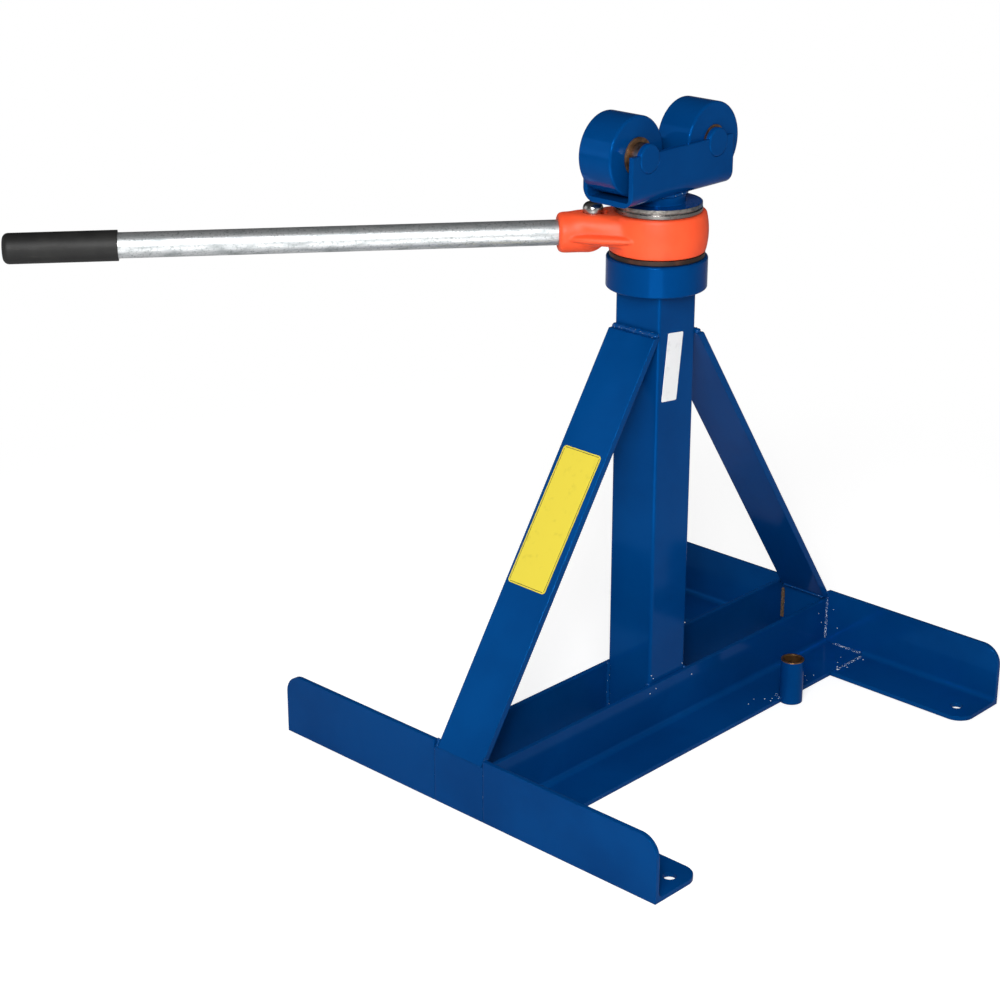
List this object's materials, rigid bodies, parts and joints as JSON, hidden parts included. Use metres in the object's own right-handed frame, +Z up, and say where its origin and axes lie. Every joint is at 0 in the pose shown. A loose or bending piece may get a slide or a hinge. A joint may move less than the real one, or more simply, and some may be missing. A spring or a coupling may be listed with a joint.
{
  "type": "ratchet cable drum jack",
  "caption": "Screw jack on an angle-iron base with a square braced column, a long ratchet handle and a roller saddle that carries the shaft of a cable drum.",
  "frame": {"origin": "on the floor, under the axis of the column, at the centre of the anchor holes", "axes": "+X along the feet and the roller axles, +Y along the base beams, +Z up along the column"},
  "size_m": [0.8946, 1.0356, 0.8737],
  "materials": {
    "blue_enamel": "gloss",
    "orange_enamel": "satin",
    "galvanised": "mottled zinc",
    "bare_steel": "turned",
    "dark_steel": "oiled",
    "bronze": "dull",
    "black_rubber": "matte"
  },
  "bodies": {
    "base_frame": {"beam_angle_right": "blue_enamel", "beam_angle_left": "blue_enamel", "front_foot_right": "blue_enamel", "front_foot_left": "blue_enamel", "rear_foot_right": "blue_enamel", "rear_foot_left": "blue_enamel", "front_end_plate": "blue_enamel", "rear_end_plate": "blue_enamel", "column_tube": "blue_enamel", "front_brace": "blue_enamel", "rear_brace": "blue_enamel", "tie_socket": "blue_enamel", "head_collar": "blue_enamel", "bearing_lower_race": "bare_steel", "bearing_balls": "bare_steel"},
    "lifting_nut": {"thrust_washer": "dark_steel", "ratchet_wheel": "dark_steel", "screw_nut": "bronze", "nut_key": "bare_steel", "retaining_ring": "bare_steel", "rest_washer": "bare_steel", "retainer_screws": "dark_steel"},
    "screw_saddle": {"jack_screw": "bare_steel", "guide_block": "dark_steel", "guide_pin": "bare_steel", "saddle_disc": "blue_enamel", "saddle_channel": "blue_enamel", "front_axle": "blue_enamel", "rear_axle": "blue_enamel", "roller_washers": "bronze"},
    "ratchet_handle": {"ratchet_housing": "orange_enamel", "handle_pipe": "galvanised", "handle_grip": "black_rubber", "detent_ball": "bare_steel", "detent_spring": "bare_steel"},
    "pawl": {"pawl_dog": "dark_steel", "pawl_shaft": "bare_steel", "pawl_knob": "bare_steel"},
    "front_roller_body": {"front_roller": "blue_enamel", "front_roller_bushes": "bronze"},
    "rear_roller_body": {"rear_roller": "blue_enamel", "rear_roller_bushes": "bronze"}
  },
  "joints": [
    {"name": "nut_turn", "type": "hinge", "parent": "base_frame", "child": "lifting_nut", "pos_m": [0, 0, 0.7], "axis": [0, 0, -1], "range_deg": [0, 8640]},
    {"name": "screw_lift", "type": "slide", "parent": "base_frame", "child": "screw_saddle", "axis": [0, 0, 1], "range_m": [0, 0.3048]},
    {"name": "handle_swing", "type": "hinge", "parent": "base_frame", "child": "ratchet_handle", "pos_m": [0, 0, 0.71], "axis": [0, 0, 1], "continuous": true},
    {"name": "pawl_flip", "type": "hinge", "parent": "ratchet_handle", "child": "pawl", "pos_m": [-0.05505, -0.06607, 0.715], "axis": [0, 0, 1], "range_deg": [-12, 12]},
    {"name": "front_roller_spin", "type": "hinge", "parent": "screw_saddle", "child": "front_roller_body", "pos_m": [0, -0.069, 0.8217], "axis": [1, 0, 0], "continuous": true},
    {"name": "rear_roller_spin", "type": "hinge", "parent": "screw_saddle", "child": "rear_roller_body", "pos_m": [0, 0.069, 0.8217], "axis": [1, 0, 0], "continuous": true}
  ],
  "couplings": [
    {"joint": "screw_lift", "follows": "nut_turn", "m_per_rad": 0.0020213}
  ]
}
